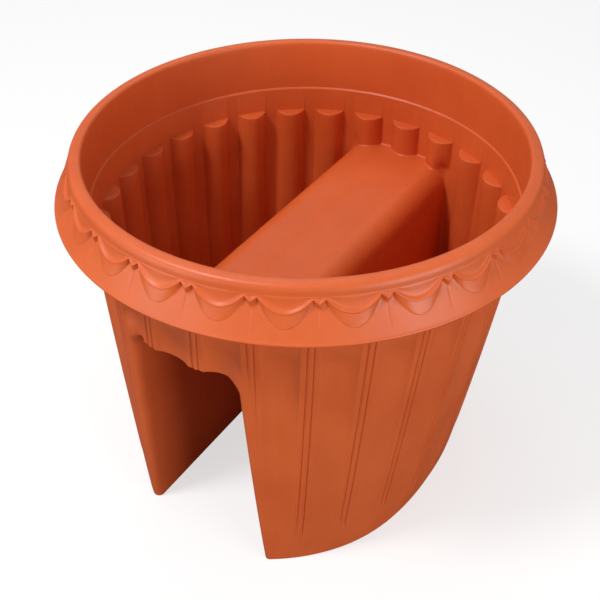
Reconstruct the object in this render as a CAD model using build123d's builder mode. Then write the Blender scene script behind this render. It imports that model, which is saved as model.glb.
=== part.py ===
"""Railing planter: a round pot with two hollow legs that stand either side of a rail.

Frame: millimetres, +Z up, origin on the ground at the centre of the pot, the rail channel along Y.
"""

import os
from math import atan2, copysign, cos, hypot, pi, radians, sin, sqrt

from build123d import *

os.makedirs("parts", exist_ok=True)

# ---- overall sizes -------------------------------------------------------------------------------
TOTAL_HEIGHT = 320.0
COLLAR_RADIUS = 200.0
COLLAR_EDGE_Z = 280.3
WALL = 3.0

# ---- body: a circle under the collar that narrows to an oval at the feet -------------------------
BODY_TOP_Z = 272.0
BODY_TOP_RADIUS = 176.2
FOOT_HALF_LENGTH = 178.0
FOOT_HALF_WIDTH = 136.5

# ---- channel between the legs, which takes the rail ----------------------------------------------
CHANNEL_HALF_FOOT = 58.5
CHANNEL_HALF_TOP = 47.7
CHANNEL_HEIGHT = 219.0
CHANNEL_CORNER = 16.0
MOUTH_ROUND = 5.0

# ---- closed floor of each leg, held up inside a standing rim -------------------------------------
FLOOR_UNDERSIDE = 5.0
FLOOR_TOP = 8.0

# ---- flutes: grooves outside, half-round columns with flat tops inside ---------------------------
# Their directions are in degrees from +Y towards +X. They stand closest on the side away from the
# wide turn, and their feet lean away from the channel.
FLUTE_COUNT = 27
FLUTE_START = 4.4
FLUTE_SPREAD = 4.0
FLUTE_WIDE_TURN = 119.3
FLUTE_FOOT_LEAN = 4.1
FLUTE_TOP_Z = 249.0
FLUTE_FOOT_Z = 14.0
FLUTE_DEPTH = 7.0
FLUTE_WAIST_Z = 190.0
FLUTE_WAIST_DEPTH = 3.0
FLUTE_FOOT_DEPTH = 0.8
BAND_WIDTH = 15.0
COLUMN_TOP_Z = 251.6
COLUMN_DEPTH = 10.6
COLUMN_WAIST_DEPTH = 4.5
COLUMN_BAND_WIDTH = 10.9
ARC_SHIFT = 0.4

# ---- rim and collar ------------------------------------------------------------------------------
RIM_INNER_RADIUS = 174.3
RIDGE_Z = 272.5
RIDGE_STEP = 0.8
BEAD_FACE_Z = 311.4
BEAD_FACE_RADIUS = 185.5
BEAD_CREST_DROP = 3.0
BEAD_CREST_INSET = 3.6
BEAD_SHOULDER_DROP = 4.2
BEAD_SHOULDER_INSET = 1.2
BEAD_TANGENTS = [(0.05, 1.0), (1.0, 0.0), (0.35, -1.0), (0.12, -1.0)]
HOLLOW_TOP_RADIUS = 178.4
HOLLOW_FOOT_RADIUS = 177.4
HOLLOW_FOOT_Z = 274.0
EDGE_ROUND = 0.7
SKIRT_THICKNESS = 2.4
SKIRT_SPLINE = [(183.9, 311.0), (185.1, 307.0), (188.8, 299.4), (193.3, 291.9), (199.0, 282.4)]

# ---- festoon: a raised layer on the skirt, cut to a row of hanging swags -------------------------
SWAG_COUNT = 26
SWAG_PHASE = 0.8
SWAG_SHARE = 0.81
SWAG_OVERLAP = 1.02
SWAG_FALL = 0.45
SWAG_PEAK_Z = 309.5
SWAG_TIP_Z = 305.3
SWAG_LOW_Z = 296.8
LAYER_TOP = (185.5, 311.4)
LAYER_FOOT = (191.3, 296.4)
LAYER_HEEL = (191.9, 293.8)
LAYER_ROOT = 1.2

# ---- drain plugs ---------------------------------------------------------------------------------
DRAIN_X = 95.0
DRAIN_Y = 70.0
DRAIN_RADIUS = 8.0
PLUG_CLEARANCE = 0.08
PLUG_SEAT_GAP = 0.02
PLUG_EDGE_ROUND = 0.6
PLUG_FLANGE_RADIUS = 12.0
PLUG_FLANGE_HEIGHT = 2.0
PLUG_STEM_FOOT = 2.0
PLUG_CUP_RADIUS = 5.6
GRIP_LENGTH = 14.0
GRIP_THICKNESS = 2.4
GRIP_HEIGHT = 9.0


def body_section(z, inset=0.0):
    """Half width across the legs and half length along the channel of the body at a height."""
    share = z / BODY_TOP_Z
    half_width = FOOT_HALF_WIDTH + (BODY_TOP_RADIUS - FOOT_HALF_WIDTH) * share
    half_length = FOOT_HALF_LENGTH + (BODY_TOP_RADIUS - FOOT_HALF_LENGTH) * share
    return half_width - inset, half_length - inset


def body_loft(inset, foot_z):
    """Solid of the tapering body, set in from its outer face, from a height up to its top."""
    with BuildPart(mode=Mode.PRIVATE) as body:
        for z in (foot_z, BODY_TOP_Z):
            half_width, half_length = body_section(z, inset)
            with BuildSketch(Plane.XY.offset(z)):
                Ellipse(half_width, half_length)
        loft(ruled=True)
    return body.part


def channel_prism(grow, corner, foot_z):
    """Solid that fills the channel, made wider and taller by an amount, rounded along its top."""
    slope = (CHANNEL_HALF_FOOT - CHANNEL_HALF_TOP) / CHANNEL_HEIGHT
    top_z = CHANNEL_HEIGHT + grow
    foot_half = CHANNEL_HALF_FOOT - slope * foot_z + grow
    top_half = CHANNEL_HALF_FOOT - slope * top_z + grow
    with BuildPart(mode=Mode.PRIVATE) as prism:
        with BuildSketch(Plane.XZ) as outline:
            with BuildLine():
                Polyline(
                    (-foot_half, foot_z), (-top_half, top_z), (top_half, top_z), (foot_half, foot_z),
                    close=True,
                )
            make_face()
            fillet(outline.vertices().group_by(Axis.Y)[-1], radius=corner)
        extrude(amount=COLLAR_RADIUS, both=True)
    return prism.part


def flute_turn(n):
    """Direction of a flute at the top of the body."""
    even = 2.0 * pi * n / FLUTE_COUNT + radians(FLUTE_START)
    return even + radians(FLUTE_SPREAD) * sin(even - radians(FLUTE_WIDE_TURN))


def flute_tool(n, inset, band_width, stations):
    """Long half-round, lying in the wall, through stations that each give a height and a depth."""
    pitch = 0.5 * (flute_turn(n + 1) - flute_turn(n - 1))
    top_turn = flute_turn(n)
    lean = radians(FLUTE_FOOT_LEAN) * cos(top_turn) ** 2 * copysign(1.0, sin(2.0 * top_turn))
    with BuildPart(mode=Mode.PRIVATE) as tool:
        for z, depth in stations:
            turn = top_turn + lean * (1.0 - z / BODY_TOP_Z)
            half_width, half_length = body_section(z, inset)
            face_x = half_width * sin(turn)
            face_y = half_length * cos(turn)
            normal = atan2(cos(turn) / half_length, sin(turn) / half_width)
            stretch = hypot(half_width * cos(turn), half_length * sin(turn))
            half_chord = 0.5 * (pitch * stretch - band_width)
            radial = depth / (1.0 - ARC_SHIFT)
            shift = radial * ARC_SHIFT
            lateral = half_chord / sqrt(1.0 - ARC_SHIFT**2)
            centre = (face_x + shift * cos(normal), face_y + shift * sin(normal), z)
            with BuildSketch(Plane(origin=centre, x_dir=(cos(normal), sin(normal), 0), z_dir=(0, 0, 1))):
                Ellipse(radial, lateral)
        loft(ruled=True)
    return tool.part


def swag_prism(angle):
    """Radial prism that keeps one swag of the festoon, with half a peak at either side."""
    pitch_half = LAYER_FOOT[0] * sin(pi / SWAG_COUNT) * SWAG_OVERLAP
    swag_half = pitch_half * SWAG_SHARE
    with BuildPart(mode=Mode.PRIVATE) as prism:
        facing = Plane(
            origin=(0, 0, 0),
            x_dir=(-sin(angle), cos(angle), 0),
            z_dir=(cos(angle), sin(angle), 0),
        )
        with BuildSketch(facing.offset(BODY_TOP_RADIUS)):
            with BuildLine():
                right_tip = (pitch_half, SWAG_TIP_Z)
                right_peak = (swag_half, SWAG_PEAK_Z)
                left_peak = (-swag_half, SWAG_PEAK_Z)
                left_tip = (-pitch_half, SWAG_TIP_Z)
                Polyline(
                    left_peak, left_tip, (-pitch_half, TOTAL_HEIGHT), (pitch_half, TOTAL_HEIGHT), right_tip,
                    right_peak,
                )
                Spline(
                    right_peak, (0.0, SWAG_LOW_Z), left_peak,
                    tangents=[(-SWAG_FALL, -1.0), (-1.0, 0.0), (-SWAG_FALL, 1.0)],
                )
            make_face()
        extrude(amount=COLLAR_RADIUS - BODY_TOP_RADIUS)
    return prism.part


# ---- hollows of the shell ------------------------------------------------------------------------
inner_round = MOUTH_ROUND - WALL


def upright_corners(block, shortest):
    """Upright edges of a leg-shaped block where its curved side meets the channel's side."""
    return [
        edge
        for edge in block.edges()
        if edge.length > shortest
        and abs(edge.center().Y) > 0.5 * FOOT_HALF_LENGTH
        and abs(edge.center().X) < 1.2 * CHANNEL_HALF_FOOT
        and edge.bounding_box().size.Z > 0.9 * shortest
    ]


with BuildPart() as cavity:
    # inside of the pot: both legs, with the bridge over the channel and the columns left standing
    add(body_loft(WALL, FLOOR_TOP))
    add(channel_prism(WALL, CHANNEL_CORNER + WALL, 0.0), mode=Mode.SUBTRACT)
    fillet(upright_corners(cavity, 0.8 * CHANNEL_HEIGHT), radius=inner_round)
    column_run = [
        (FLOOR_UNDERSIDE, FLUTE_FOOT_DEPTH),
        (FLUTE_WAIST_Z, COLUMN_WAIST_DEPTH),
        (COLUMN_TOP_Z, COLUMN_DEPTH),
    ]
    columns = [flute_tool(n, WALL, COLUMN_BAND_WIDTH, column_run) for n in range(FLUTE_COUNT)]
    add(columns, mode=Mode.SUBTRACT)

with BuildPart() as recess:
    # hollow under each leg's floor, inside the standing rim
    with BuildSketch(Plane.XY):
        Ellipse(FOOT_HALF_WIDTH - WALL, FOOT_HALF_LENGTH - WALL)
    extrude(amount=FLOOR_UNDERSIDE)
    add(channel_prism(WALL, CHANNEL_CORNER + WALL, 0.0), mode=Mode.SUBTRACT)
    fillet(upright_corners(recess, 0.9 * FLOOR_UNDERSIDE), radius=inner_round)

# ---- collar --------------------------------------------------------------------------------------
with BuildPart() as collar:
    # upper wall, rim bead and the hanging skirt, all of revolution
    with BuildSketch(Plane.XZ):
        with BuildLine():
            inner_foot = (BODY_TOP_RADIUS - WALL, BODY_TOP_Z)
            ledge = (BODY_TOP_RADIUS - WALL, RIDGE_Z)
            above = (BODY_TOP_RADIUS - WALL + RIDGE_STEP, RIDGE_Z + 1.0)
            crest = (RIM_INNER_RADIUS, TOTAL_HEIGHT - BEAD_CREST_DROP)
            Polyline(inner_foot, ledge, above, crest)
            Spline(
                crest,
                (RIM_INNER_RADIUS + BEAD_CREST_INSET, TOTAL_HEIGHT),
                (BEAD_FACE_RADIUS - BEAD_SHOULDER_INSET, TOTAL_HEIGHT - BEAD_SHOULDER_DROP),
                (BEAD_FACE_RADIUS, BEAD_FACE_Z),
                tangents=BEAD_TANGENTS,
            )
            Line((BEAD_FACE_RADIUS, BEAD_FACE_Z), SKIRT_SPLINE[0])
            Spline(*SKIRT_SPLINE)
            # back of the skirt, set in along the line from the top of its front to its foot
            run = SKIRT_SPLINE[-1][0] - SKIRT_SPLINE[1][0]
            fall = SKIRT_SPLINE[1][1] - SKIRT_SPLINE[-1][1]
            back_r = SKIRT_THICKNESS * fall / hypot(run, fall)
            back_z = SKIRT_THICKNESS * run / hypot(run, fall)
            hidden = [(r - back_r, z - back_z) for r, z in SKIRT_SPLINE[1:]]
            Polyline(
                SKIRT_SPLINE[-1],
                (COLLAR_RADIUS, COLLAR_EDGE_Z + EDGE_ROUND),
                (COLLAR_RADIUS - EDGE_ROUND, COLLAR_EDGE_Z),
                (COLLAR_RADIUS - SKIRT_THICKNESS, COLLAR_EDGE_Z),
                hidden[-1],
            )
            Spline(*reversed(hidden))
            Polyline(
                hidden[0],
                (HOLLOW_TOP_RADIUS, BEAD_FACE_Z - WALL),
                (HOLLOW_FOOT_RADIUS, HOLLOW_FOOT_Z),
                (BODY_TOP_RADIUS, BODY_TOP_Z),
                inner_foot,
            )
        make_face()
    revolve(axis=Axis.Z)

with BuildPart() as festoon:
    # raised layer over the skirt, kept only inside the swag outlines
    with BuildSketch(Plane.XZ):
        with BuildLine():
            back = [(r - LAYER_ROOT, z) for r, z in SKIRT_SPLINE[:4]]
            Polyline(back[0], LAYER_TOP, LAYER_FOOT, LAYER_HEEL, back[3])
            Spline(*reversed(back))
        make_face()
    revolve(axis=Axis.Z)
    pitch = 2.0 * pi / SWAG_COUNT
    phase = -pi / 2.0 + SWAG_PHASE * pi / 180.0
    add([swag_prism(phase + n * pitch) for n in range(SWAG_COUNT)], mode=Mode.INTERSECT)

# ---- the moulded shell ---------------------------------------------------------------------------
drain_places = [(x, y) for x in (-DRAIN_X, DRAIN_X) for y in (-DRAIN_Y, DRAIN_Y)]

with BuildPart() as planter_shell:
    # body with the rail channel taken out and the mouths of the channel rounded
    add(body_loft(0.0, 0.0))
    add(channel_prism(0.0, CHANNEL_CORNER, 0.0), mode=Mode.SUBTRACT)
    fillet(upright_corners(planter_shell, 0.8 * CHANNEL_HEIGHT), radius=MOUTH_ROUND)
    # outer flutes, fading towards the feet
    groove_run = [
        (FLUTE_FOOT_Z, FLUTE_FOOT_DEPTH),
        (FLUTE_WAIST_Z, FLUTE_WAIST_DEPTH),
        (FLUTE_TOP_Z, FLUTE_DEPTH),
    ]
    grooves = [flute_tool(n, 0.0, BAND_WIDTH, groove_run) for n in range(FLUTE_COUNT)]
    add(grooves, mode=Mode.SUBTRACT)
    add(cavity.part, mode=Mode.SUBTRACT)
    add(recess.part, mode=Mode.SUBTRACT)
    # collar and its raised swags
    add(collar.part)
    add(festoon.part)
    # two drain holes through the floor of each leg
    with BuildSketch(Plane.XY.offset(FLOOR_UNDERSIDE)):
        with Locations(*drain_places):
            Circle(DRAIN_RADIUS)
    extrude(amount=FLOOR_TOP - FLOOR_UNDERSIDE, mode=Mode.SUBTRACT)

# ---- drain plug, pressed in from above and lifted out by its grip --------------------------------
plug_seat = FLOOR_TOP + PLUG_SEAT_GAP

with BuildPart() as drain_plug:
    with BuildSketch(Plane.XY.offset(plug_seat)):
        Circle(PLUG_FLANGE_RADIUS)
    extrude(amount=PLUG_FLANGE_HEIGHT)
    fillet(drain_plug.edges().group_by(Axis.Z)[-1], radius=PLUG_EDGE_ROUND)
    with BuildSketch(Plane.XY.offset(PLUG_STEM_FOOT)):
        Circle(DRAIN_RADIUS - PLUG_CLEARANCE)
    extrude(amount=plug_seat - PLUG_STEM_FOOT)
    chamfer(drain_plug.edges().group_by(Axis.Z)[0], length=PLUG_EDGE_ROUND)
    with BuildSketch(Plane.XY.offset(PLUG_STEM_FOOT)):
        Circle(PLUG_CUP_RADIUS)
    extrude(amount=plug_seat - PLUG_STEM_FOOT, mode=Mode.SUBTRACT)
    with BuildSketch(Plane.XY.offset(plug_seat + PLUG_FLANGE_HEIGHT)):
        SlotOverall(GRIP_LENGTH, GRIP_THICKNESS)
    extrude(amount=GRIP_HEIGHT)

# ---- named pieces --------------------------------------------------------------------------------
planter_shell.part.label = "planter_shell"
export_step(planter_shell.part, "parts/planter_shell.step")

plug_names = ["drain_plug_left_near", "drain_plug_left_far", "drain_plug_right_near", "drain_plug_right_far"]
for name, (x, y) in zip(plug_names, drain_places):
    plug = Pos(x, y, 0.0) * drain_plug.part
    plug.label = name
    export_step(plug, f"parts/{name}.step")
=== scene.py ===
"""Railing planter, dressed: a fine mesh of the moulded pot, plastic for it and for its CAD plugs.

The pot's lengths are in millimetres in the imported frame, +Z up and the rail channel along Y, and
are turned into metres where a mesh is made. A turn is an angle from +Y towards +X. The floor, the
lights and the camera are in metres. In loops, s is the side (1 at +X) and e the end (1 at +Y).
"""

from collections import namedtuple

import bmesh
import bpy
import numpy as np
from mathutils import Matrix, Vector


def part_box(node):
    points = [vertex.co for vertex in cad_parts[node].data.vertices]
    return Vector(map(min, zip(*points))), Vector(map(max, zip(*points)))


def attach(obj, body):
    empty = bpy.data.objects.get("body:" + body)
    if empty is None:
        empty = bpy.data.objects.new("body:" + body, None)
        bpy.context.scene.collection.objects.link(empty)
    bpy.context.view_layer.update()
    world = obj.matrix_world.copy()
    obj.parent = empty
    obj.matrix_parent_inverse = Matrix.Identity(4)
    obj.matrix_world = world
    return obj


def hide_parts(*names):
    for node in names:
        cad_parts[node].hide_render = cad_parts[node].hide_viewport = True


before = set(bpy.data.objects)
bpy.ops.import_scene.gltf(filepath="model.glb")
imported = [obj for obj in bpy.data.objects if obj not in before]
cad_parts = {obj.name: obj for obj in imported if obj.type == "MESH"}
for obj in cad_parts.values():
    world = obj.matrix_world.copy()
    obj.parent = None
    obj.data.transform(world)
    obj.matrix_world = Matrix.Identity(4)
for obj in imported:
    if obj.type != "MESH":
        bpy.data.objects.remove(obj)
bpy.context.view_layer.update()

MM = 0.001

# ---- driving sizes -------------------------------------------------------------------------------
shell_low, shell_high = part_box("planter_shell")
TOTAL_HEIGHT = shell_high.z / MM
COLLAR_RADIUS = shell_high.x / MM
WALL = 3.0
BODY_TOP_Z = 272.0
BODY_TOP_RADIUS = 176.2
FOOT_HALF_LENGTH = 176.6
FOOT_HALF_WIDTH = 136.5
FLANK_BULGE = 2.3
FLANK_POWER = 0.7
FOOT_FULLNESS = 3.4
FULLNESS_ANGLE = 60.0
FULLNESS_SPREAD = 20.0
FULLNESS_POWER = 1.5
FOOT_ROUND = 1.2
FOOT_CHAMFER = 0.4
FLOOR_UNDERSIDE = 5.0
FLOOR_TOP = 8.0
CROWN_FADE_Z = BODY_TOP_Z - 4.0

# ---- channel -------------------------------------------------------------------------------------
CHANNEL_HALF_FOOT = 58.5
CHANNEL_HALF_TOP = 47.7
CHANNEL_HEIGHT = 219.0
CHANNEL_CORNER = 16.0
CORNER_STEPS = 10
CEILING_ROUND = 1.2
MOUTH_ROUND_REACH = 5.0
LEFT_REACH_EXTRA = 3.5
BRIDGE_ROUND_REACH = 2.0
INNER_CORNER_REACH = 3.0
ROUND_STEPS = 6
SLOPE_STEP = 0.4
SLOPE_LIMITS = (-0.6, 1.2)
LOW_RELIEF_Z = CHANNEL_HEIGHT + 16.0
LOW_RELIEF_FADE = 14.0
PLAIN_MARGIN = 1.0
MARGIN_FADE = 11.0

# ---- flutes --------------------------------------------------------------------------------------
FLUTE_COUNT = 27
FLUTE_START = np.radians(4.4)
FLUTE_SPREAD = np.radians(4.0)
FLUTE_WIDE_TURN = np.radians(119.3)
FLUTE_FOOT_LEAN = np.radians(4.1)
COLUMN_SWEEP = np.radians(13.0)
ARC_SHIFT = 0.4
FLUTE_TOP_Z = 262.0
FLUTE_HEAD_DEPTH = 2.2
FLUTE_HEAD_Z = 249.5
FLUTE_HEAD_FADE = 16.0
COLUMN_TOP_Z = 251.6
BAND_SOFTNESS = 0.45
SOFTNESS_FADE_Z = 60.0
BAND_EDGE_STEPS = [1.4, 0.8, 0.35, 0.0]
BAND_EDGE_SHARES = [0.0, 0.06, 0.35, 1.0]
COLUMNS_PER_PITCH = 34
ABOVE_TOP = 0.001

# ---- reeds: two fine grooves with a rib between them, on each band between flutes ----------------
REED_OFFSET = 2.5
REED_DEPTH = 0.8
RIB_HEIGHT = 0.4
REED_FOOT_Z = 32.0
REED_FOOT_SLOPE = 1.5
REED_FADE = 12.0
RIB_HALF_WIDTH = 0.5
REED_PLACES = [REED_OFFSET + shift for shift in (-0.9, -0.5, -0.2, 0.2, 0.5, 0.9)]
REED_SHARES = [0.0, 0.65, 1.0, 1.0, 0.65, 0.0]

# ---- collar --------------------------------------------------------------------------------------
RIM_INNER_RADIUS = 174.3
RIDGE_STEP = 1.5
RIDGE_Z = BODY_TOP_Z + RIDGE_STEP
RIM_STRAIGHT_TOP_Z = 317.0
BEAD_FACE_RADIUS = 185.5
BEAD_FACE_Z = 311.4
BEAD_FOOT_Z = BEAD_FACE_Z - 0.35
SKIRT_LINE = [(185.1, 307.0), (188.8, 299.4), (193.3, 291.9), (199.0, 282.7)]
SKIRT_FOOT_Z = 283.0
EDGE_Z = 280.2
SKIRT_INSET = 2.13
SKIRT_DROP = 1.1
HOLLOW_TOP_RADIUS = 178.4
HOLLOW_FOOT_RADIUS = 177.4
SWAG_COUNT = 26
SWAG_PHASE = np.radians(0.8)
SWAG_PEAK_SHARE = 0.405
SWAG_UPPER = (299.8, 309.9, 306.3)
SWAG_LOWER = (291.2, 306.9, 302.3)
LAYER_SLOPE = 0.376
LAYER_RAISE = 0.1
LIP_WIDTH = 3.0
LIP_HEIGHT = 1.15
DISH_DEPTH = 0.9
SWAG_STEP = 0.4
CREASE_DEPTH = 0.35
CREASE_HALF_WIDTH = 0.010
PETAL_HEIGHT = 0.35

# ---- drain holes ---------------------------------------------------------------------------------
DRAIN_X = 95.0
DRAIN_Y = 70.0
DRAIN_RADIUS = 8.0
DRAIN_SIDES = 48

# ---- mesh ----------------------------------------------------------------------------------------
WELD_STEPS_PER_MM = 2000.0
FILL_STEPS_PER_M = 20000.0
MERGE_GAP = 0.25
SHARP_ANGLE = np.radians(38.0)
SEARCH_ROUNDS = 25
SEARCH_DAMPING = 0.7


# ==================================================================================================
# Mesh building
# ==================================================================================================
class Skin:
    """Gathers patches of a surface and welds them into one mesh."""

    def __init__(self):
        self.points = []
        self.faces = []
        self.count = 0

    def add_points(self, points):
        """Keeps a patch's points, and returns the number of its first one."""
        points = np.asarray(points, float).reshape(-1, 3)
        first = self.count
        self.points.append(points)
        self.count += len(points)
        return first

    def grid(self, points, closed=False, keep=None):
        """Quads over points shaped (rows, columns, 3); closed joins the last column to the first."""
        rows, columns = points.shape[:2]
        first = self.add_points(points)
        index = first + np.arange(rows * columns).reshape(rows, columns)
        if closed:
            index = np.hstack([index, index[:, :1]])
        quads = np.stack([index[:-1, :-1], index[:-1, 1:], index[1:, 1:], index[1:, :-1]], -1)
        if keep is not None:
            quads = quads[keep]
        self.faces.extend(quads.reshape(-1, 4).tolist())

    def polygon(self, points):
        """One face over a closed loop of points."""
        first = self.add_points(points)
        self.faces.append(list(range(first, first + len(points))))

    def build(self, name, holes=()):
        """Welds everything, fills each list of flat loops in holes, and returns the new object."""
        points = np.concatenate(self.points)
        places = np.round(points * WELD_STEPS_PER_MM).astype(np.int64)
        _, where, back = np.unique(places, axis=0, return_index=True, return_inverse=True)
        back = back.ravel()
        faces = []
        for face in self.faces:
            ring = []
            for corner in face:
                welded = int(back[corner])
                if not ring or ring[-1] != welded:
                    ring.append(welded)
            if len(ring) > 1 and ring[0] == ring[-1]:
                ring.pop()
            if len(set(ring)) == len(ring) and len(ring) > 2:
                faces.append(ring)
        mesh = bpy.data.meshes.new(name)
        mesh.from_pydata((points[where] * MM).tolist(), [], faces)
        bm = bmesh.new()
        bm.from_mesh(mesh)
        bmesh.ops.dissolve_degenerate(bm, dist=1e-6, edges=bm.edges)
        for loops in holes:
            fill_flat(bm, loops)
        bmesh.ops.recalc_face_normals(bm, faces=bm.faces)
        open_edges = sum(1 for edge in bm.edges if not edge.is_manifold)
        print(f"{name}: {len(bm.verts)} vertices, {len(bm.faces)} faces, {open_edges} open edges")
        bm.to_mesh(mesh)
        bm.free()
        mesh.shade_smooth()
        mesh.set_sharp_from_angle(angle=SHARP_ANGLE)
        piece = bpy.data.objects.new(name, mesh)
        bpy.context.scene.collection.objects.link(piece)
        return piece


def fill_flat(bm, loops):
    """Fills the flat region between an outer loop and the loops inside it, on welded vertices."""
    table = {}
    for vertex in bm.verts:
        table.setdefault(tuple(round(c * FILL_STEPS_PER_M) for c in vertex.co), vertex)
    edges = []
    for loop in loops:
        corners = []
        for point in loop:
            key = tuple(round(c * MM * FILL_STEPS_PER_M) for c in point)
            vertex = table.get(key)
            if vertex is None:
                vertex = bm.verts.new([c * MM for c in point])
                table[key] = vertex
            if not corners or corners[-1] is not vertex:
                corners.append(vertex)
        if corners[0] is corners[-1]:
            corners.pop()
        for a, b in zip(corners, corners[1:] + corners[:1]):
            edge = bm.edges.get((a, b))
            edges.append(edge if edge is not None else bm.edges.new((a, b)))
    bmesh.ops.triangle_fill(bm, use_beauty=True, use_dissolve=False, edges=edges)


def smooth_step(value):
    """Rises smoothly from 0 to 1 as the value does, and stays flat on either side."""
    value = np.clip(value, 0.0, 1.0)
    return value * value * (3.0 - 2.0 * value)


# ==================================================================================================
# Body wall: a tapering oval with flutes outside and half-round columns inside
# ==================================================================================================
channel_slope = (CHANNEL_HALF_FOOT - CHANNEL_HALF_TOP) / CHANNEL_HEIGHT
corner_z = CHANNEL_HEIGHT - CHANNEL_CORNER
corner_x = CHANNEL_HALF_FOOT - channel_slope * corner_z - CHANNEL_CORNER

# One face of the moulded wall: how far it stands inside the outer face, the width of the bands
# between its flutes, how deep the flutes are at their head and foot and how soon they fade, where
# they end and how their head is rounded, whether the bands carry reeds, how far the channel's cut
# is moved out, and the size of the roundings at the cut's sides and at its ceiling.
Wall = namedtuple(
    "Wall", "inset band depth_top depth_foot power top_z foot_z crown reeded grow reach ceiling"
)
OUTER = Wall(
    inset=0.0,
    band=15.0,
    depth_top=7.0,
    depth_foot=0.8,
    power=4.5,
    top_z=FLUTE_TOP_Z,
    foot_z=14.0,
    crown=1.5,
    reeded=True,
    grow=0.0,
    reach=MOUTH_ROUND_REACH,
    ceiling=CEILING_ROUND,
)
INNER = Wall(
    inset=WALL,
    band=10.9,
    depth_top=10.6,
    depth_foot=0.8,
    power=1.05,
    top_z=COLUMN_TOP_Z,
    foot_z=FLOOR_UNDERSIDE,
    crown=0.9,
    reeded=False,
    grow=WALL,
    reach=INNER_CORNER_REACH,
    ceiling=BRIDGE_ROUND_REACH,
)


def body_section(z, inset):
    """Half width across the legs and half length along the channel of the wall at a height."""
    share = z / BODY_TOP_Z
    half_width = FOOT_HALF_WIDTH + (BODY_TOP_RADIUS - FOOT_HALF_WIDTH) * share
    half_width = half_width + FLANK_BULGE * np.sin(np.pi * np.clip(share, 0.0, 1.0)) ** FLANK_POWER
    half_length = FOOT_HALF_LENGTH + (BODY_TOP_RADIUS - FOOT_HALF_LENGTH) * share
    return half_width - inset, half_length - inset


def flute_turns(z, wall):
    """Directions of all flutes at heights z, with one more before and after the full round."""
    n = np.arange(-1, FLUTE_COUNT + 1)
    even = 2.0 * np.pi * n / FLUTE_COUNT + FLUTE_START
    top = even + FLUTE_SPREAD * np.sin(even - FLUTE_WIDE_TURN)
    if wall.reeded:
        lean = FLUTE_FOOT_LEAN * np.cos(top) ** 2 * np.sign(np.sin(2.0 * top))
    else:
        lean = COLUMN_SWEEP * np.sin(top)
    z = np.asarray(z, float)
    shape = (-1,) + (1,) * z.ndim
    return top.reshape(shape) + lean.reshape(shape) * (1.0 - z / BODY_TOP_Z)


def band_spans(z, wall):
    """Directions of the bands between flutes at heights z, half the angle of each, mm to a radian."""
    flutes = flute_turns(z, wall)
    middle = 0.5 * (flutes[1:] + flutes[:-1])
    half_width, half_length = body_section(np.asarray(z, float), wall.inset)
    stretch = np.hypot(half_width * np.cos(middle), half_length * np.sin(middle))
    return middle, 0.5 * wall.band / stretch, stretch


def band_relief(offset, z):
    """Depth below the band's face at a distance from its middle, for the reeds and the rib."""
    places = [0.0, RIB_HALF_WIDTH] + REED_PLACES
    depths = [-RIB_HEIGHT, -RIB_HEIGHT] + [REED_DEPTH * share for share in REED_SHARES]
    foot = REED_FOOT_Z + REED_FOOT_SLOPE * offset
    fade = smooth_step((z - foot) / REED_FADE) * smooth_step((BODY_TOP_Z - 1.0 - z) / 6.0)
    return np.interp(np.abs(offset), places, depths) * fade


def relief(turn, z, wall):
    """Depth of the wall's relief behind its plain oval, at directions and heights of one shape."""
    turn, z = np.broadcast_arrays(np.asarray(turn, float), np.asarray(z, float))
    middle, half_band, stretch = band_spans(z, wall)
    share = np.clip((z - wall.foot_z) / (wall.top_z - wall.foot_z), 0.0, 1.0)
    deepest = wall.depth_foot + (wall.depth_top - wall.depth_foot) * share**wall.power
    deepest = deepest * smooth_step(z / wall.foot_z)
    if wall.reeded:
        # kept shallow above the columns' tops, where only the wall's thickness is left
        below_head = smooth_step((FLUTE_HEAD_Z - z) / FLUTE_HEAD_FADE)
        deepest = np.minimum(deepest, FLUTE_HEAD_DEPTH + (wall.depth_top - FLUTE_HEAD_DEPTH) * below_head)
    rise = np.clip(z - (wall.top_z - wall.crown), 0.0, wall.crown)
    deepest = np.maximum(deepest - (wall.crown - np.sqrt(wall.crown**2 - rise**2)), 0.0)
    above = z > wall.top_z + 1e-4
    edge_soft = BAND_SOFTNESS * smooth_step(z / SOFTNESS_FADE_Z)
    crown_fade = smooth_step((CROWN_FADE_Z - z) / 8.0)
    depth = np.zeros(turn.shape)
    for n in range(FLUTE_COUNT):
        left = middle[n]
        right = middle[n + 1]
        place = np.mod(turn - left + np.pi, 2.0 * np.pi) - np.pi + left
        here = (place >= left - 1e-9) & (place < right - 1e-9)
        start = left + half_band[n]
        end = right - half_band[n + 1]
        across = 2.0 * (place - start) / (end - start) - 1.0
        arc = np.sqrt(np.maximum(1.0 - (1.0 - ARC_SHIFT**2) * across**2, ARC_SHIFT**2)) - ARC_SHIFT
        flute = deepest * arc / (1.0 - ARC_SHIFT) + edge_soft
        flute = np.where(above, edge_soft * crown_fade, flute)
        from_left = (place - left) * stretch[n]
        from_right = (right - place) * stretch[n + 1]
        on_left = from_left < from_right
        offset = np.where(on_left, from_left, -from_right)
        band_edge = [0.5 * wall.band - step for step in BAND_EDGE_STEPS]
        band = edge_soft * np.interp(np.abs(offset), band_edge, BAND_EDGE_SHARES)
        if wall.reeded:
            band = band + band_relief(offset, z)
        band = np.where(above, band * crown_fade, band)
        inside = np.abs(across) < 1.0
        depth = np.where(here, np.where(inside, flute, band), depth)
    # the wall is plain beside the upright edges of the channel
    beside = np.abs(body_section(z, wall.inset)[0] * np.sin(turn))
    beside = beside - (CHANNEL_HALF_FOOT - channel_slope * z + wall.grow + wall.reach)
    beside = np.where(z > corner_z, np.abs(beside), beside)
    low = smooth_step((LOW_RELIEF_Z - z) / LOW_RELIEF_FADE)
    return depth * (1.0 - low * (1.0 - smooth_step((beside - PLAIN_MARGIN) / MARGIN_FADE)))


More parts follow.
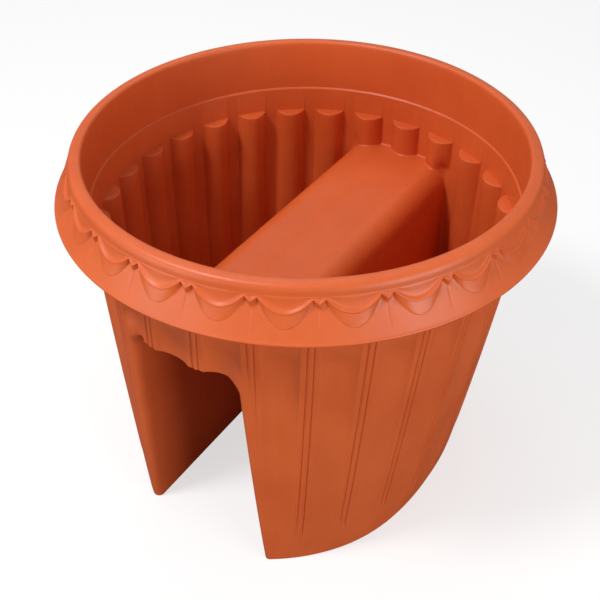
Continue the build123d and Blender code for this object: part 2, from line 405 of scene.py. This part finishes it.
def wall_points(turn, z, wall):
    """Points of the wall at directions and heights of one shape."""
    turn, z = np.broadcast_arrays(np.asarray(turn, float), np.asarray(z, float))
    half_width, half_length = body_section(z, wall.inset)
    out_x = np.sin(turn) / half_width
    out_y = np.cos(turn) / half_length
    size = np.hypot(out_x, out_y)
    off_axis = np.degrees(np.arctan2(np.abs(np.sin(turn)), np.abs(np.cos(turn))))
    full = np.exp(-(((off_axis - FULLNESS_ANGLE) / FULLNESS_SPREAD) ** 2))
    full = full * (1.0 - z / BODY_TOP_Z) ** FULLNESS_POWER
    depth = relief(turn, z, wall) - FOOT_FULLNESS * full
    x = half_width * np.sin(turn) - depth * out_x / size
    y = half_length * np.cos(turn) - depth * out_y / size
    return np.stack([x, y, z], -1)


def column_layout(wall):
    """Where the mesh columns of one pitch stand: distances on the half bands, shares of the flute."""
    edge = [0.5 * wall.band - step for step in BAND_EDGE_STEPS]
    if wall.reeded:
        offsets = [0.0, RIB_HALF_WIDTH] + REED_PLACES + edge
    else:
        offsets = list(np.linspace(0.0, edge[0], 3)) + edge[1:]
    inner_count = COLUMNS_PER_PITCH - (2 * len(offsets) - 1)
    shares = -np.cos(np.pi * (np.arange(inner_count) + 1.0) / (inner_count + 1.0))
    return np.array(offsets), shares


def column_turns(z, wall):
    """Directions of every mesh column at one height."""
    offsets, shares = column_layout(wall)
    middle, half_band, stretch = band_spans(float(z), wall)
    turns = []
    for n in range(FLUTE_COUNT):
        start = middle[n] + half_band[n]
        end = middle[n + 1] - half_band[n + 1]
        turns.extend(middle[n] + offsets / stretch[n])
        turns.extend(0.5 * (start + end) + 0.5 * (end - start) * shares)
        turns.extend(middle[n + 1] - offsets[:0:-1] / stretch[n + 1])
    return np.array(turns)


# ==================================================================================================
# Channel: an arch cut through the body, with rounded mouths
# ==================================================================================================
def arch_corner(wall, side_reach, swing):
    """Round-over reach and radius of the wall's cut edge along the arch's rounded corner."""
    reach = wall.ceiling + (side_reach - wall.ceiling) * np.cos(swing) ** 2
    return reach, CHANNEL_CORNER + wall.grow + reach


def arch_rows(wall, upright_z, side):
    """Half widths, heights, outward directions and reach of the wall's cut edge, from foot to ceiling.

    Both sides share their heights; the outer wall is rounded over further on the left.
    """
    side_reach = wall.reach + (LEFT_REACH_EXTRA if side < 0 and wall.reeded else 0.0)
    swing = np.linspace(0.0, 0.5 * np.pi, CORNER_STEPS + 1)
    height = corner_z + arch_corner(wall, wall.reach, swing)[1] * np.sin(swing)
    fine = np.linspace(0.0, 0.5 * np.pi, 400)
    swing = np.interp(height, corner_z + arch_corner(wall, side_reach, fine)[1] * np.sin(fine), fine)
    reach, radius = arch_corner(wall, side_reach, swing)
    upright_x = CHANNEL_HALF_FOOT - channel_slope * upright_z + wall.grow + side_reach
    x = np.concatenate([upright_x, corner_x + radius * np.cos(swing)])
    z = np.concatenate([upright_z, height])
    out_x = np.concatenate([np.ones(len(upright_z)), np.cos(swing)])
    out_z = np.concatenate([np.zeros(len(upright_z)), np.sin(swing)])
    reach = np.concatenate([np.full(len(upright_z), side_reach), reach])
    return x, z, out_x, out_z, reach


def to_turn(near_turn, side, end):
    """Direction of a point near_turn away from the +Y or -Y axis, on the side of +X or -X."""
    return side * near_turn if end > 0 else np.pi - side * near_turn


def find_near_turn(x, z, side, end, wall):
    """How far from the Y axis the wall passes a given half width."""
    x, z = np.broadcast_arrays(np.asarray(x, float), np.asarray(z, float))
    half_width = body_section(z, wall.inset)[0]
    near_turn = np.arcsin(np.clip(x / half_width, -0.99, 0.99))
    for _ in range(SEARCH_ROUNDS):
        miss = x - side * wall_points(to_turn(near_turn, side, end), z, wall)[..., 0]
        near_turn = near_turn + SEARCH_DAMPING * miss / (half_width * np.cos(near_turn))
    return near_turn


def round_over(x, z, out_x, out_z, reach, side, end, wall):
    """Arcs that carry the wall's cut edge round into the channel: points shaped (edge, step, 3)."""

    def depth_at(px, pz):
        near_turn = find_near_turn(px, pz, side, end, wall)
        return end * wall_points(to_turn(near_turn, side, end), pz, wall)[..., 1]

    edge_y = depth_at(x, z)
    fall = (edge_y - depth_at(x + SLOPE_STEP * out_x, z + SLOPE_STEP * out_z)) / SLOPE_STEP
    fall = np.clip(fall, *SLOPE_LIMITS)
    corner_y = edge_y + fall * reach
    opening = np.arctan2(1.0, fall)
    weight = np.sin(0.5 * opening)
    tangent = reach * np.sqrt(1.0 + fall**2)
    edge = np.stack([x, edge_y, z], -1)
    corner = np.stack([x - reach * out_x, corner_y, z - reach * out_z], -1)
    inside = corner - np.stack([np.zeros_like(x), tangent, np.zeros_like(x)], -1)
    points = []
    for u in np.linspace(0.0, 1.0, ROUND_STEPS + 1):
        a = (1.0 - u) ** 2
        b = (2.0 * u * (1.0 - u) * weight)[..., None]
        c = u**2
        points.append((a * edge + b * corner + c * inside) / (a + b + c))
    points = np.stack(points, -2)
    points[..., 0] *= side
    points[..., 1] *= end
    return points


def trimmed_wall(skin, wall, upright_z, upper_z):
    """Adds a wall with the channel's arch cut out of both ends, its rounded mouths and the channel face.

    Returns the outline of each leg at the lowest row and the wall's top row.
    """
    arches = {s: arch_rows(wall, upright_z, s) for s in (-1, 1)}
    arch_z = arches[1][1]
    ceiling_z = arch_z[-1]
    lower_turns = np.array([column_turns(z, wall) for z in arch_z])
    axis_turn = np.where(np.cos(lower_turns[-1]) > 0.0, 0.0, np.pi)
    wrapped = np.mod(lower_turns[-1] - axis_turn + np.pi, 2.0 * np.pi) - np.pi
    end = np.where(axis_turn == 0.0, 1, -1)
    side = np.where(wrapped * end >= 0.0, 1, -1)
    near_turns = (np.mod(lower_turns - axis_turn + np.pi, 2.0 * np.pi) - np.pi) * side * end

    cut = {}
    corners_at = {}
    clamped = near_turns.copy()
    top_row = near_turns[-1].copy()
    for s in (-1, 1):
        for e in (-1, 1):
            cut[s, e] = find_near_turn(arches[s][0], arch_z, s, e, wall)
            mine = np.flatnonzero((side == s) & (end == e))
            clamped[:, mine] = np.maximum(near_turns[:, mine], cut[s, e][:, None])
            below = mine[near_turns[-1, mine] < cut[s, e][-1]]
            last = below[np.argmax(near_turns[-1, below])]
            top_row[last] = cut[s, e][-1]
            corners_at[s, e] = last

    lower = np.where(end > 0, side * clamped, np.pi - side * clamped)
    ceiling = np.where(end > 0, side * top_row, np.pi - side * top_row)
    lower_points = wall_points(lower, arch_z[:, None], wall)
    same_side = (side == np.roll(side, -1)) | (end != np.roll(end, -1))
    keep = np.broadcast_to(same_side, (len(arch_z) - 1, len(side)))
    skin.grid(lower_points, closed=True, keep=keep)

    upper_turns = np.vstack([ceiling[None, :], [column_turns(z, wall) for z in upper_z]])
    upper_points = wall_points(upper_turns, np.concatenate([[ceiling_z], upper_z])[:, None], wall)
    skin.grid(upper_points, closed=True)

    # rounded mouths, and the channel's sides between them
    arcs = {}
    for s in (-1, 1):
        for e in (-1, 1):
            arcs[s, e] = round_over(*arches[s], s, e, wall)
            arcs[s, e][:, 0] = wall_points(to_turn(cut[s, e], s, e), arch_z, wall)
            skin.grid(arcs[s, e])
        skin.grid(np.stack([arcs[s, -1][:, -1], arcs[s, 1][:, -1]], 1))

    # rounded edge of the ceiling at either end, and the flat ceiling
    chains = {}
    count = len(side)
    for e in (-1, 1):
        first = corners_at[-e, e]
        last = corners_at[e, e]
        order = [(first + k) % count for k in range((last - first) % count + 1)]
        middle = upper_points[0, order[1:-1]]
        sides = np.where(middle[:, 0] >= 0.0, 1, -1)
        chain = []
        for s in (-1, 1):
            mine = middle[sides == s]
            if len(mine) == 0:
                continue
            up = np.ones(len(mine))
            arc = round_over(np.abs(mine[:, 0]), mine[:, 2], 0.0 * up, up, up * wall.ceiling, s, e, wall)
            arc[:, 0] = mine
            chain.append(arc)
        if e < 0:
            chain.reverse()
        row = np.concatenate([arcs[-e, e][-1:]] + chain + [arcs[e, e][-1:]])
        skin.grid(row)
        chains[e] = row[:, -1]
    skin.polygon(np.concatenate([chains[1], chains[-1]]))

    outlines = {}
    for s in (-1, 1):
        foot_cut = np.where(end > 0, cut[s, 1][0], cut[s, -1][0])
        mine = np.flatnonzero((side == s) & (clamped[0] > foot_cut + 1e-9))
        turns = lower[0, mine]
        order = np.argsort(np.mod(turns * s, 2.0 * np.pi))
        walls = lower_points[0, mine[order]]
        outlines[s] = np.concatenate([arcs[s, 1][0, ::-1], walls, arcs[s, -1][0]])
    return outlines, upper_points[-1]


def inset_loop(loop, distance, z):
    """The closed flat loop moved inwards by a distance, at a height."""
    flat = loop[:, :2]
    ahead = np.roll(flat, -1, 0) - flat
    behind = flat - np.roll(flat, 1, 0)
    ahead = ahead / np.linalg.norm(ahead, axis=1, keepdims=True)
    behind = behind / np.linalg.norm(behind, axis=1, keepdims=True)
    area = np.sum(flat[:, 0] * np.roll(flat[:, 1], -1) - np.roll(flat[:, 0], -1) * flat[:, 1])
    turn_in = np.sign(area)
    left_ahead = np.stack([-ahead[:, 1], ahead[:, 0]], -1) * turn_in
    left_behind = np.stack([-behind[:, 1], behind[:, 0]], -1) * turn_in
    inward = left_ahead + left_behind
    inward = inward / np.maximum(np.sum(inward * left_ahead, axis=1, keepdims=True), 0.3)
    moved = flat + inward * distance
    for k in range(1, len(moved)):
        if np.hypot(*(moved[k] - moved[k - 1])) < MERGE_GAP:
            moved[k] = moved[k - 1]
    if np.hypot(*(moved[0] - moved[-1])) < MERGE_GAP:
        moved[0] = moved[-1]
    return np.column_stack([moved, np.full(len(moved), z)])


def drain_circle(x, y, z):
    """Points round the edge of a drain hole."""
    around = 2.0 * np.pi * np.arange(DRAIN_SIDES) / DRAIN_SIDES
    ring_x = x + DRAIN_RADIUS * np.cos(around)
    ring_y = y + DRAIN_RADIUS * np.sin(around)
    return np.stack([ring_x, ring_y, np.full(DRAIN_SIDES, z)], -1)


def make_body():
    """The pot below its collar: outer and inner walls, channel, bridge, leg floors and standing rims."""
    skin = Skin()
    corner_low = corner_z - 1.0
    foot_rows = [FOOT_ROUND, 4.0, 8.0, 14.0, 20.0, 25.0, 28.0, 31.0, 34.0, 37.0, 40.0, 44.0, 49.0]
    outer_up = np.concatenate([foot_rows, np.linspace(58.0, corner_low, 15)])
    outer_top = [223.0, 228.0, 234.0, 240.0, 245.0, 250.0, 254.0, 257.0, 259.0, 260.5, 261.5]
    outer_top += [FLUTE_TOP_Z, FLUTE_TOP_Z + ABOVE_TOP, 264.0, 266.0, 268.0, 270.0, BODY_TOP_Z]
    outer_legs, outer_ring = trimmed_wall(skin, OUTER, outer_up, np.array(outer_top))
    inner_up = np.concatenate([[FLOOR_TOP, 14.0], np.linspace(30.0, corner_low, 9)])
    inner_top = [227.0, 233.0, 240.0, 246.0, 250.7, 251.05, 251.35, 251.52]
    inner_top += [COLUMN_TOP_Z, COLUMN_TOP_Z + ABOVE_TOP, 254.0, 260.0, 266.0, BODY_TOP_Z]
    inner_legs, inner_ring = trimmed_wall(skin, INNER, inner_up, np.array(inner_top))
    skin.grid(np.stack([outer_ring, inner_ring]), closed=True)

    holes = []
    for s in (-1, 1):
        foot = outer_legs[s]
        loops = [foot]
        for swing in np.linspace(0.0, 0.5 * np.pi, 5)[1:]:
            inward = FOOT_ROUND * (1.0 - np.cos(swing))
            loops.append(inset_loop(foot, inward, FOOT_ROUND * (1.0 - np.sin(swing))))
        loops.append(inset_loop(foot, WALL - FOOT_CHAMFER, 0.0))
        loops.append(inset_loop(foot, WALL, FOOT_CHAMFER))
        loops.append(inset_loop(foot, WALL, FLOOR_UNDERSIDE))
        skin.grid(np.stack(loops), closed=True)
        under = [loops[-1]]
        floor = [inner_legs[s]]
        for y in (-DRAIN_Y, DRAIN_Y):
            low_ring = drain_circle(s * DRAIN_X, y, FLOOR_UNDERSIDE)
            high_ring = drain_circle(s * DRAIN_X, y, FLOOR_TOP)
            skin.grid(np.stack([low_ring, high_ring]), closed=True)
            under.append(low_ring)
            floor.append(high_ring)
        holes += [under, floor]
    return skin.build("pot_body", holes)


# ==================================================================================================
# Collar: rim bead, overhanging skirt and the festoon of raised swags
# ==================================================================================================
def swag_curve(across, sizes):
    """Height of a festoon outline: low in the middle of a swag, a peak at either side, a tip between."""
    low, peak, tip = sizes
    q = np.abs(across) / SWAG_PEAK_SHARE
    bowl = low + (peak - low) * q**2
    tooth = peak + (tip - peak) * (np.abs(across) - SWAG_PEAK_SHARE) / (0.5 - SWAG_PEAK_SHARE)
    return np.where(q <= 1.0, bowl, tooth)


def make_collar():
    """One closed ring: inside of the rim, bead, festoon, skirt, rolled edge and hidden underside."""
    half = [0.0, 0.04, 0.08, 0.12, 0.16, 0.2, 0.24, 0.28, 0.315, 0.345, 0.37, 0.39, SWAG_PEAK_SHARE]
    half += [0.42, 0.44, 0.46, 0.48, 0.493]
    pitch_places = np.array([-h for h in half[:0:-1]] + half + [0.5])
    across = np.tile(pitch_places, SWAG_COUNT)
    swag = np.repeat(np.arange(SWAG_COUNT), len(pitch_places))
    angle = -0.5 * np.pi + SWAG_PHASE + 2.0 * np.pi * (swag + across) / SWAG_COUNT
    ones = np.ones(len(angle))

    upper = swag_curve(across, SWAG_UPPER)
    lower = swag_curve(across, SWAG_LOWER)
    skirt_fit = np.polyfit([z for _, z in SKIRT_LINE], [r for r, _ in SKIRT_LINE], 3)
    crease = np.exp(-(((0.5 - np.abs(across)) / CREASE_HALF_WIDTH) ** 2))
    petal = PETAL_HEIGHT * (np.cos(np.pi * across) ** 2 - 0.5)

    def skirt(z):
        fade = smooth_step((z - SKIRT_FOOT_Z) / 8.0) * smooth_step((BEAD_FACE_Z + 2.0 - z) / 6.0)
        tip_fade = smooth_step((z - 285.0) / 14.0)
        return np.polyval(skirt_fit, z) + petal * fade - CREASE_DEPTH * crease * tip_fade

    def layer(z):
        return BEAD_FACE_RADIUS + LAYER_SLOPE * (BEAD_FACE_Z - z)

    rows = []

    def add(radius, z):
        rows.append((radius * ones, z * ones))

    # inside of the rim, from the body over the ridge up to the crest
    wall_radius = BODY_TOP_RADIUS - WALL
    for r, z in ((0.0, 0.0), (0.0, 0.2), (0.15, 0.6), (0.5, 1.1), (1.1, 1.4), (1.5, 1.8)):
        add(wall_radius + r, BODY_TOP_Z + z)
    ridge = wall_radius + RIDGE_STEP
    for z in (285.0, 295.0, 305.0, 313.0):
        add(ridge + (RIM_INNER_RADIUS - ridge) * (z - RIDGE_Z) / (RIM_STRAIGHT_TOP_Z - RIDGE_Z), z)
    for r, z in ((0.05, 3.0), (0.25, 1.8), (0.8, 0.8), (1.7, 0.2), (2.9, 0.0), (5.0, 0.1), (7.0, 0.5)):
        add(RIM_INNER_RADIUS + r, TOTAL_HEIGHT - z)
    # bead shoulder and its steep face
    for r, z in ((8.4, 1.0), (9.4, 1.8), (10.1, 2.8), (10.6, 4.0), (11.1, 5.6)):
        add(RIM_INNER_RADIUS + r, TOTAL_HEIGHT - z)
    add(BEAD_FACE_RADIUS - 0.12, BEAD_FACE_Z + 0.5)
    add(BEAD_FACE_RADIUS, BEAD_FACE_Z)
    add(BEAD_FACE_RADIUS + 0.25, BEAD_FOOT_Z)

    # raised layer down to the lip that edges the swags
    lip = np.minimum(LIP_WIDTH, 0.75 * (BEAD_FOOT_Z - upper))
    lip_top = upper + lip
    dish = DISH_DEPTH * smooth_step((BEAD_FOOT_Z - upper) / 10.0)
    for share, part in ((0.2, 0.25), (0.5, 0.75), (0.8, 1.0), (1.0, 1.0)):
        z = BEAD_FOOT_Z + (lip_top - BEAD_FOOT_Z) * share
        rows.append((layer(z) + LAYER_RAISE - dish * part, z))
    lip_height = LIP_HEIGHT * lip / LIP_WIDTH
    lip_rows = ((0.75, 0.1, 0.7), (0.5, 0.85, 0.1), (0.3, 1.0, 0.0), (0.12, 0.9, 0.0), (0.0, 0.65, 0.0))
    for share, height, part in lip_rows:
        z = upper + lip * share
        rows.append((layer(z) + LAYER_RAISE + lip_height * height - dish * part, z))
    # sloping face of the swag, down to its foot on the skirt
    upper_r = layer(upper) + LAYER_RAISE + lip_rows[-1][1] * lip_height
    lower_r = skirt(lower) + SWAG_STEP * smooth_step((upper - lower) / 5.0)
    for share in (0.06, 0.5, 0.94, 1.0):
        rows.append((upper_r + (lower_r - upper_r) * share, upper + (lower - upper) * share))
    # skirt below the swags
    for share in (0.05, 0.2, 0.4, 0.6, 0.8, 1.0):
        z = lower + (SKIRT_FOOT_Z - lower) * share
        rows.append((skirt(z), z))
    # rolled edge
    foot_r = float(np.polyval(skirt_fit, SKIRT_FOOT_Z))
    add(foot_r + 0.25, SKIRT_FOOT_Z - 0.35)
    for r, z in ((0.35, 2.0), (0.05, 1.4), (0.0, 0.9), (0.25, 0.3), (0.8, 0.0), (2.2, 0.0)):
        add(COLLAR_RADIUS - r, EDGE_Z + z)
    # underside
    for r, z in SKIRT_LINE[::-1]:
        add(r - SKIRT_INSET, z - SKIRT_DROP)
    add(HOLLOW_TOP_RADIUS, BEAD_FACE_Z - WALL)
    add(HOLLOW_FOOT_RADIUS, BODY_TOP_Z + 2.0)
    add(BODY_TOP_RADIUS, BODY_TOP_Z)

    radius = np.array([r for r, _ in rows])
    height = np.array([z for _, z in rows])
    points = np.stack([radius * np.cos(angle), radius * np.sin(angle), height], -1)
    skin = Skin()
    skin.grid(np.concatenate([points, points[:1]]), closed=True)
    return skin.build("pot_collar")


# ==================================================================================================
# Materials
# ==================================================================================================
STREAK_SHARE = 0.2


def linear(colour):
    """Scene-linear values of an sRGB colour given from 0 to 255."""
    shares = np.array(colour) / 255.0
    return [float(c / 12.92 if c <= 0.04045 else ((c + 0.055) / 1.055) ** 2.4) for c in shares] + [1.0]


def moulded_plastic(name, light, dark, roughness):
    """Matt moulded plastic: faint cloudy colour, fine streaks along the draw, uneven gloss and grain."""
    material = bpy.data.materials.new(name)
    material.use_nodes = True
    nodes = material.node_tree.nodes
    links = material.node_tree.links
    shader = nodes["Principled BSDF"]
    shader.inputs["IOR"].default_value = 1.47
    shader.inputs["Specular IOR Level"].default_value = 0.52
    place = nodes.new("ShaderNodeTexCoord")

    def noise(scale, detail, stretch=(1.0, 1.0, 1.0)):
        mapping = nodes.new("ShaderNodeMapping")
        mapping.inputs["Scale"].default_value = stretch
        links.new(place.outputs["Object"], mapping.inputs["Vector"])
        texture = nodes.new("ShaderNodeTexNoise")
        texture.inputs["Scale"].default_value = scale
        texture.inputs["Detail"].default_value = detail
        links.new(mapping.outputs["Vector"], texture.inputs["Vector"])
        return texture.outputs["Fac"]

    clouds = noise(14.0, 4.0)
    streaks = noise(160.0, 3.0, (1.0, 1.0, 0.06))
    blend = nodes.new("ShaderNodeMath")
    blend.operation = "MULTIPLY_ADD"
    blend.inputs[1].default_value = STREAK_SHARE
    links.new(streaks, blend.inputs[0])
    scaled = nodes.new("ShaderNodeMath")
    scaled.operation = "MULTIPLY"
    scaled.inputs[1].default_value = 1.0 - STREAK_SHARE
    links.new(clouds, scaled.inputs[0])
    links.new(scaled.outputs[0], blend.inputs[2])
    ramp = nodes.new("ShaderNodeValToRGB")
    ramp.color_ramp.elements[0].position = 0.36
    ramp.color_ramp.elements[0].color = linear(dark)
    ramp.color_ramp.elements[1].position = 0.64
    ramp.color_ramp.elements[1].color = linear(light)
    links.new(blend.outputs[0], ramp.inputs["Fac"])
    links.new(ramp.outputs["Color"], shader.inputs["Base Color"])

    gloss = nodes.new("ShaderNodeMapRange")
    gloss.inputs["From Min"].default_value = 0.3
    gloss.inputs["From Max"].default_value = 0.7
    gloss.inputs["To Min"].default_value = roughness - 0.04
    gloss.inputs["To Max"].default_value = roughness + 0.05
    links.new(noise(60.0, 3.0), gloss.inputs["Value"])
    links.new(gloss.outputs["Result"], shader.inputs["Roughness"])

    grain = nodes.new("ShaderNodeBump")
    grain.inputs["Strength"].default_value = 0.12
    grain.inputs["Distance"].default_value = 0.0003
    links.new(noise(1400.0, 2.0), grain.inputs["Height"])
    waves = nodes.new("ShaderNodeBump")
    waves.inputs["Strength"].default_value = 0.1
    waves.inputs["Distance"].default_value = 0.002
    links.new(noise(26.0, 2.0), waves.inputs["Height"])
    links.new(grain.outputs["Normal"], waves.inputs["Normal"])
    links.new(waves.outputs["Normal"], shader.inputs["Normal"])
    return material


def studio_white(name, seen, shade, lift):
    """Pale floor that sends little light back up, and looks white with a shadow to the camera."""
    material = bpy.data.materials.new(name)
    material.use_nodes = True
    nodes = material.node_tree.nodes
    links = material.node_tree.links
    shader = nodes["Principled BSDF"]
    shader.inputs["Roughness"].default_value = 0.9
    shader.inputs["Specular IOR Level"].default_value = 0.0
    path = nodes.new("ShaderNodeLightPath")
    mix = nodes.new("ShaderNodeMix")
    mix.data_type = "RGBA"
    mix.inputs["A"].default_value = (shade, shade, shade, 1.0)
    mix.inputs["B"].default_value = (seen, seen, seen, 1.0)
    links.new(path.outputs["Is Camera Ray"], mix.inputs["Factor"])
    links.new(mix.outputs["Result"], shader.inputs["Base Color"])
    glow = nodes.new("ShaderNodeMath")
    glow.operation = "MULTIPLY"
    glow.inputs[1].default_value = lift
    links.new(path.outputs["Is Camera Ray"], glow.inputs[0])
    shader.inputs["Emission Color"].default_value = (1.0, 1.0, 1.0, 1.0)
    links.new(glow.outputs[0], shader.inputs["Emission Strength"])
    return material


# ==================================================================================================
# Pieces
# ==================================================================================================
terracotta = moulded_plastic("terracotta_plastic", (222, 102, 49), (213, 93, 42), 0.42)
plug_orange = moulded_plastic("plug_plastic", (207, 87, 36), (197, 79, 31), 0.48)

for piece in (make_body(), make_collar()):
    piece.data.materials.append(terracotta)
    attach(piece, "pot")
    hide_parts("planter_shell")

for name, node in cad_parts.items():
    if name.startswith("drain_plug"):
        node.data.materials.clear()
        node.data.materials.append(plug_orange)

# ==================================================================================================
# Floor, light and camera
# ==================================================================================================
FLOOR_HALF = 6.0
FLOOR_SEEN = 0.4
FLOOR_SHADE = 0.12
FLOOR_LIFT = 0.64
SKY_STRENGTH = 0.36
AIM = (0.0, 0.0, 0.2)


def make_floor():
    """A wide square on the ground."""
    corners = [(x * FLOOR_HALF, y * FLOOR_HALF, 0.0) for x, y in ((-1, -1), (1, -1), (1, 1), (-1, 1))]
    mesh = bpy.data.meshes.new("studio_floor")
    mesh.from_pydata(corners, [], [(0, 1, 2, 3)])
    mesh.materials.append(studio_white("studio_floor", FLOOR_SEEN, FLOOR_SHADE, FLOOR_LIFT))
    floor = bpy.data.objects.new("studio_floor", mesh)
    bpy.context.scene.collection.objects.link(floor)


def make_sky():
    """Even white light from all round, and a plain white backdrop for the camera alone."""
    world = bpy.data.worlds.new("studio")
    world.use_nodes = True
    nodes = world.node_tree.nodes
    links = world.node_tree.links
    light = nodes["Background"]
    light.inputs["Color"].default_value = (1.0, 1.0, 1.0, 1.0)
    light.inputs["Strength"].default_value = SKY_STRENGTH
    backdrop = nodes.new("ShaderNodeBackground")
    backdrop.inputs["Color"].default_value = (1.0, 1.0, 1.0, 1.0)
    path = nodes.new("ShaderNodeLightPath")
    mix = nodes.new("ShaderNodeMixShader")
    links.new(path.outputs["Is Camera Ray"], mix.inputs[0])
    links.new(light.outputs[0], mix.inputs[1])
    links.new(backdrop.outputs[0], mix.inputs[2])
    links.new(mix.outputs[0], nodes["World Output"].inputs["Surface"])
    bpy.context.scene.world = world


def area_light(name, place, size, power):
    """Soft square lamp that faces the middle of the object."""
    lamp = bpy.data.lights.new(name, "AREA")
    lamp.energy = power
    lamp.size = size
    holder = bpy.data.objects.new(name, lamp)
    bpy.context.scene.collection.objects.link(holder)
    holder.location = place
    aim = np.array(AIM) - np.array(place)
    pitch = np.arccos(-aim[2] / np.linalg.norm(aim))
    holder.rotation_euler = (pitch, 0.0, np.arctan2(-aim[0], aim[1]))


def make_camera():
    """The camera at the photograph's viewing angle, as fitted to its rim, collar and flute circles."""
    data = bpy.data.cameras.new("camera")
    data.lens = 57.6
    data.sensor_width = 36.0
    camera = bpy.data.objects.new("camera", data)
    bpy.context.scene.collection.objects.link(camera)
    camera.location = (0.3551, -0.5561, 0.7056)
    camera.rotation_euler = np.radians((50.12, 0.12, 32.88))
    bpy.context.scene.camera = camera


make_floor()
make_sky()
area_light("key_left", (-0.6, -1.0, 2.05), 0.45, 25.5)
area_light("low_front", (-0.75, -1.6, 0.4), 1.0, 9.6)
area_light("low_right", (1.7, -0.4, 0.3), 1.0, 19.0)
area_light("top_back", (-0.55, 0.7, 2.0), 1.2, 6.0)
make_camera()
bpy.context.scene.view_settings.view_transform = "Standard"

bpy.context.view_layer.update()
